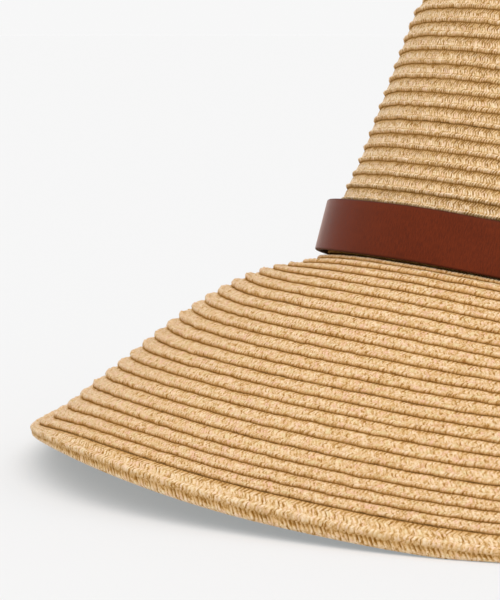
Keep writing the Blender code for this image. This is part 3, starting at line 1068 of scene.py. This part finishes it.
def make_brim(settings):
    """Closed pieces of the brim, each of some of its rows, from the crown outwards."""
    sizes = settings.sizes
    material = straw(settings, "brim_straw")
    chance = np.random.default_rng(sizes.seed + 3)
    start = np.zeros(len(GRID))
    end = BRIM.width - EDGE_BRAID_WIDTH - CLEARANCE / 2 + GROOVE_SHIFT * near_left(GRID)
    lines = [start] + brim_lines(sizes) + [end]
    left = near_left(GRID, SIDE_SPREAD)

    def sew_row(number, top, bottom):
        middle = (top.mean() + bottom.mean()) / 2
        around_hat = 2 * pi * (CROWN_RADIUS + middle * BRIM_REACH)
        row = SewnRow(chance, sizes, number, sizes.brim_strand, around_hat)
        row.swell = row.swell * (1 + (1 - left) * INNER_SWELL * max(0, 1 - number / INNER_ROWS))
        row.rope = 1 + left * SIDE_SWELL * min(1, number / SIDE_ROWS)
        if number == 0:
            row.swell = np.full(len(GRID), FIRST_ROW_SWELL)
        return row

    pieces = row_pieces(BRIM_PIECES, lines, BRIM_ROW, BRIM.points, -SEAM_LAP, sew_row)
    for name, rows, outer, inner in pieces:
        if name == "brim_inner_rows":
            outer[0] = seam_ring(rows[0], BRIM_ROW[0], BRIM.points, start)
            inner += brim_lip(rows[-1].strands // 2)
        make_part(name, outer + inner, material, "brim", True)


def brim_lip(count):
    """Inner end of the brim under the crown's wall."""
    rings = []
    for rise, across in ((-WALL, -2.0), (0, -2.5)):
        def points(azimuths, rise=rise):
            return AXES.points(azimuths, CROWN_RADIUS - WALL, rise)

        rings.append(plain_ring(points, count, across, LIP_TONE))
    return rings


def rim_low(azimuths):
    """Heights of the last braid's lower edge."""
    sag = RIM_SAG * fading(turned_from(azimuths, SAG_AZIMUTH), SAG_SPREAD)
    low = on_grid(BRIM.rim_bottom, azimuths) + RIM_RISE * near_left(azimuths) - sag
    return np.maximum(LEAST_RIM_HEIGHT, low)


def last_braid(azimuths, inset):
    """Distances down the slope of a line of the last braid, given from the rim."""
    share = -inset / EDGE_BRAID_WIDTH
    shift = share * GROOVE_SHIFT - (1 - share) * TUCK
    return BRIM.width_at(azimuths) + inset + shift * near_left(azimuths)


def make_edge_braid(settings):
    """The wide last braid, turned down and under at the rim."""
    sizes = settings.sizes
    material = straw(settings, "rim_straw")
    chance = np.random.default_rng(sizes.seed + 4)
    around_hat = 2 * pi * (CROWN_RADIUS + BRIM_WIDTH * RIM_REACH)
    row = SewnRow(chance, sizes, RIM_NUMBER, sizes.rim_strand, around_hat)
    drift = waver(chance, sizes.waver, RIM_WAVES, around_hat)
    rings = []
    for spot in EDGE_TOP:
        def on_top(azimuths, swells, offsets, strays, spot=spot):
            slopes = last_braid(azimuths, spot.inset) + on_grid(drift, azimuths) * (spot.zone == 2)
            return BRIM.points(azimuths, slopes + strays, spot.rise * MM * swells + offsets)

        rings.append(row.ring(on_top, spot, 1 + spot.inset / EDGE_BRAID_WIDTH))
    for spot in EDGE_FACE:
        def on_face(azimuths, swells, offsets, strays, spot=spot):
            width = BRIM.width_at(azimuths)
            along, down, _ = BRIM.place(azimuths, width - TUCK * near_left(azimuths))
            top = AXES.points(azimuths, CROWN_RADIUS, 0)[:, 2] - down
            low = rim_low(azimuths)
            heights = low + spot.share * (top - low) + strays * (spot.share > 0)
            return BRIM.upright(azimuths, along + spot.out * MM + offsets, heights)

        rings.append(row.ring(on_face, spot, 2 - spot.share))
    count = 2 * row.strands // 3

    def sole(azimuths):
        along, _, _ = BRIM.place(azimuths, last_braid(azimuths, 0))
        return BRIM.upright(azimuths, along - RIM_THICKNESS, rim_low(azimuths))

    def inside(inset):
        def points(azimuths):
            return BRIM.points(azimuths, last_braid(azimuths, inset), np.full(len(azimuths), -WALL))

        return points

    # The last number of each is how open to the light the turned-under straw lies, painted into its
    # colour as shade
    turned_under = (
        (sole, 2.4, 0.8),
        (inside(-RIM_THICKNESS - WALL), 2.7, 0.9),
        (inside(CLEARANCE / 2 - EDGE_BRAID_WIDTH), 3.0, 0.9),
    )
    for points, across, tone in turned_under:
        rings.append(plain_ring(points, count, RIM_NUMBER + across, tone))
    make_part("rim_braid", rings, material, "edge_braid", True)


# Strap
STRAP_SLICES = 420  # round the hat
STRAP_CORNER = 0.0008  # radius of its four corners
CORNER_STEPS = 4
FACE_STEPS = (0.2, 0.4, 0.6, 0.8)  # points up its face, as shares
PARED = 0.4  # share of its thickness that is left where its other end lies over it
THICKENS = (0.9, 1.3)  # from where to where it gains its full thickness, in laps from its start
CLIMBS = (1.9, 1.0)  # from where to where it climbs over its start, in laps from its end
STEADY_LAPS = (1.5, 2.0)  # laps at its start and at its end in which it lies even
STRAP_SWING = 0.00012  # how far it strays outwards
STRAP_RISE = 0.00010  # how far it strays up and down
SWING_WAVES = (0.3, 0.04)
RISE_WAVES = (0.4, 0.06)
STRAP_ROUND = 0.6  # its length, for counting the waves
STRAP_BULGE = 0.0006  # how much further off the crown it stands at the far left
STRAP_BULGE_SPREAD = 45.0
STRAP_FLARE = 0.0009  # how much further out its lower edge stands than its upper edge
STRAP_DROP = 0.0006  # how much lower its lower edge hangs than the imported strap's


def strap_outline(thickness):
    """Points round the strap's cross-section as distances out and up, with how far each is on
    the dyed face, from 0 to 1."""
    corner = min(STRAP_CORNER, thickness * 0.45)
    points = []
    middles = (
        (thickness - corner, corner, -90),
        (thickness - corner, BAND_HEIGHT - corner, 0),
        (corner, BAND_HEIGHT - corner, 90),
        (corner, corner, 180),
    )
    for number, (out, up, first) in enumerate(middles):
        for step in range(CORNER_STEPS + 1):
            turn = step / CORNER_STEPS
            angle = radians(first + 90 * turn)
            face = {0: turn, 1: 1 - turn}.get(number, 0)
            points.append((out + corner * cos(angle), up + corner * sin(angle), face))
        if number == 0:
            for share in FACE_STEPS:
                points.append((thickness, corner + share * (BAND_HEIGHT - 2 * corner), 1))
    return points


def share_between(value, start, end):
    """How far a value is on its way from start to end, from 0 to 1."""
    return min(1, max(0, (value - start) / (end - start)))


def make_band(settings):
    """Leather strap standing off the crown, whose pared end lies under its other end."""
    chance = np.random.default_rng(settings.sizes.seed + 5)
    inside = CROWN_RADIUS + BAND_SLACK
    lap = np.degrees(LAP_LENGTH / (inside + BAND_THICKNESS))
    first, last = LAP_MIDDLE - lap / 2, LAP_MIDDLE + lap / 2 + 360
    swing = waver(chance, STRAP_SWING, SWING_WAVES, STRAP_ROUND)
    rise = waver(chance, STRAP_RISE, RISE_WAVES, STRAP_ROUND)
    azimuths = first + (last - first) * np.arange(STRAP_SLICES + 1) / STRAP_SLICES
    rings = []
    for azimuth in azimuths:
        from_start, to_end = (azimuth - first) / lap, (last - azimuth) / lap
        strays = from_start >= STEADY_LAPS[0] and to_end >= STEADY_LAPS[1]
        thickness = BAND_THICKNESS * (PARED + (1 - PARED) * share_between(from_start, *THICKENS))
        climb = share_between(to_end, *CLIMBS)
        radius = inside + LAP_RISE * climb * climb * (3 - 2 * climb)
        outs, ups, faces = np.array(strap_outline(thickness)).T
        outs = outs + radius + strays * max(0, float(on_grid(swing, azimuth)))
        ups = ups * (1 + STRAP_DROP / BAND_HEIGHT) - STRAP_DROP
        outs = outs + STRAP_FLARE * (1 - ups / BAND_HEIGHT)
        outs = outs + STRAP_BULGE * fading(azimuth % 360 - LEFT_AZIMUTH, STRAP_BULGE_SPREAD)
        heights = ups + BAND_SEAT + strays * float(on_grid(rise, azimuth))
        rings.append((AXES.points(np.full(len(ups), azimuth), outs, heights), faces, ups))
    points = np.concatenate([ring[0] for ring in rings]) - ORIGIN
    tone = np.concatenate([ring[1] for ring in rings])
    size = len(rings[0][0])
    faces = []
    for number in range(len(rings) - 1):
        low, high = number * size, (number + 1) * size
        for spot in range(size):
            after = (spot + 1) % size
            faces.append((low + spot, low + after, high + after, high + spot))
    faces.append(tuple(reversed(range(size))))
    faces.append(tuple(range(len(points) - size, len(points))))
    mesh = bpy.data.meshes.new("leather_strap")
    mesh.from_pydata(points.tolist(), [], faces)
    mesh.attributes.new("tone", "FLOAT", "POINT").data.foreach_set("value", tone.astype(np.float32))
    corners = np.empty(len(mesh.loops), np.int32)
    mesh.loops.foreach_get("vertex_index", corners)
    lengths = np.radians(azimuths) * inside
    ups = np.concatenate([ring[2] for ring in rings])
    places = np.stack((np.repeat(lengths, size)[corners], ups[corners]), axis=1)
    mesh.uv_layers.new(name="strap").uv.foreach_set("vector", places.ravel().astype(np.float32))
    mesh.shade_smooth()
    mesh.set_sharp_from_angle(angle=radians(50))
    if volume(mesh) < 0:
        mesh.flip_normals()
    place_piece(mesh, leather_material(settings.leather), "hat_band")


# Stage
FLOOR_RADIUS = 30.0
BACKDROP_HEIGHT = 0.6
BACKDROP_SIDES = 48
CAMERA_PLACE = (-0.000614, -1.007321, 0.175484)
CAMERA_TURN = 7.1193  # degrees to the left of straight back
CAMERA_DIP = 6.3757  # degrees below level
LENS = 150.0
LAMP_FROM = (0.0, -0.58, 1.0)


def paper(name, colour, glow, glow_colour=(1, 1, 1)):
    """Matt paper that gives some light of its own."""
    return NodeTable(name).finish(
        Base_Color=colour,
        Roughness=0.9,
        Specular_IOR_Level=0.0,
        Emission_Color=glow_colour,
        Emission_Strength=glow,
    )


def make_backdrop(look):
    """Pale floor with a low wall all round, far from the hat."""
    turns = np.radians(np.arange(BACKDROP_SIDES) * 360 / BACKDROP_SIDES)
    circle = [(FLOOR_RADIUS * cos(turn), FLOOR_RADIUS * sin(turn)) for turn in turns]
    points = [(x, y, height) for height in (0, BACKDROP_HEIGHT) for x, y in circle]
    faces = [tuple(range(BACKDROP_SIDES))]
    for side in range(BACKDROP_SIDES):
        after = (side + 1) % BACKDROP_SIDES
        faces.append((side, after, BACKDROP_SIDES + after, BACKDROP_SIDES + side))
    mesh = bpy.data.meshes.new("floor")
    mesh.from_pydata(points, [], faces)
    mesh.materials.append(paper("floor_paper", look.floor, look.glow, look.glow_colour))
    mesh.materials.append(paper("backdrop_paper", (0, 0, 0), look.backdrop))
    mesh.polygons.foreach_set("material_index", [0] + [1] * BACKDROP_SIDES)
    floor = bpy.data.objects.new("floor", mesh)
    bpy.context.scene.collection.objects.link(floor)


def make_stage(settings):
    """Pale floor, white room, soft overhead light and the camera."""
    look = settings.studio
    scene = bpy.context.scene
    make_backdrop(look)
    world = bpy.data.worlds.new("white_room")
    world.use_nodes = True
    world.node_tree.nodes["Background"].inputs["Color"].default_value = (1, 1, 1, 1)
    world.node_tree.nodes["Background"].inputs["Strength"].default_value = look.sky
    scene.world = world
    light = bpy.data.lights.new("overhead_light", "SUN")
    light.energy = look.lamp
    light.angle = look.lamp_softness
    lamp = bpy.data.objects.new("overhead_light", light)
    lamp.rotation_euler = (-Vector(LAMP_FROM)).to_track_quat("-Z", "Y").to_euler()
    scene.collection.objects.link(lamp)
    data = bpy.data.cameras.new("camera")
    data.lens = LENS
    camera = bpy.data.objects.new("camera", data)
    camera.location = CAMERA_PLACE
    turn, dip = radians(CAMERA_TURN), radians(CAMERA_DIP)
    ahead = Vector((-sin(turn) * cos(dip), cos(turn) * cos(dip), -sin(dip)))
    camera.rotation_euler = ahead.to_track_quat("-Z", "Y").to_euler()
    scene.collection.objects.link(camera)
    scene.camera = camera
    scene.view_settings.view_transform = "Standard"


class HAT_OT_crown(bpy.types.Operator):
    """Makes the crown's sewn rows"""

    bl_idname = "hat.crown"
    bl_label = "Crown rows"

    def execute(self, context):
        make_crown(context.scene.hat)
        return {"FINISHED"}


class HAT_OT_brim(bpy.types.Operator):
    """Makes the brim's sewn rows"""

    bl_idname = "hat.brim"
    bl_label = "Brim rows"

    def execute(self, context):
        make_brim(context.scene.hat)
        return {"FINISHED"}


class HAT_OT_edge_braid(bpy.types.Operator):
    """Makes the wide braid turned under at the rim"""

    bl_idname = "hat.edge_braid"
    bl_label = "Edge braid"

    def execute(self, context):
        make_edge_braid(context.scene.hat)
        return {"FINISHED"}


class HAT_OT_band(bpy.types.Operator):
    """Makes the leather strap round the crown"""

    bl_idname = "hat.band"
    bl_label = "Leather strap"

    def execute(self, context):
        make_band(context.scene.hat)
        return {"FINISHED"}


class HAT_OT_stage(bpy.types.Operator):
    """Makes the floor, the light and the camera"""

    bl_idname = "hat.stage"
    bl_label = "Stage"

    def execute(self, context):
        make_stage(context.scene.hat)
        return {"FINISHED"}


OPERATORS = (HAT_OT_crown, HAT_OT_brim, HAT_OT_edge_braid, HAT_OT_band, HAT_OT_stage)


class HAT_PT_panel(bpy.types.Panel):
    """The hat's sizes, colours and pieces"""

    bl_label = "Straw hat"
    bl_idname = "HAT_PT_panel"
    bl_space_type = "VIEW_3D"
    bl_region_type = "UI"
    bl_category = "Hat"

    def draw(self, context):
        hat = context.scene.hat
        for group in (hat.sizes, hat.straw, hat.leather, hat.studio):
            box = self.layout.box()
            for name in group.__annotations__:
                box.prop(group, name)
        for operator in OPERATORS:
            self.layout.operator(operator.bl_idname)


CLASSES = (StrawSizes, StrawColours, LeatherLook, StudioLook, HatSettings, *OPERATORS, HAT_PT_panel)


def register():
    for kind in CLASSES:
        bpy.utils.register_class(kind)
    bpy.types.Scene.hat = PointerProperty(type=HatSettings)


def unregister():
    del bpy.types.Scene.hat
    for kind in reversed(CLASSES):
        bpy.utils.unregister_class(kind)


def main():
    register()
    bpy.ops.hat.crown()
    bpy.ops.hat.brim()
    bpy.ops.hat.edge_braid()
    bpy.ops.hat.band()
    bpy.ops.hat.stage()


if __name__ == "__main__":
    main()
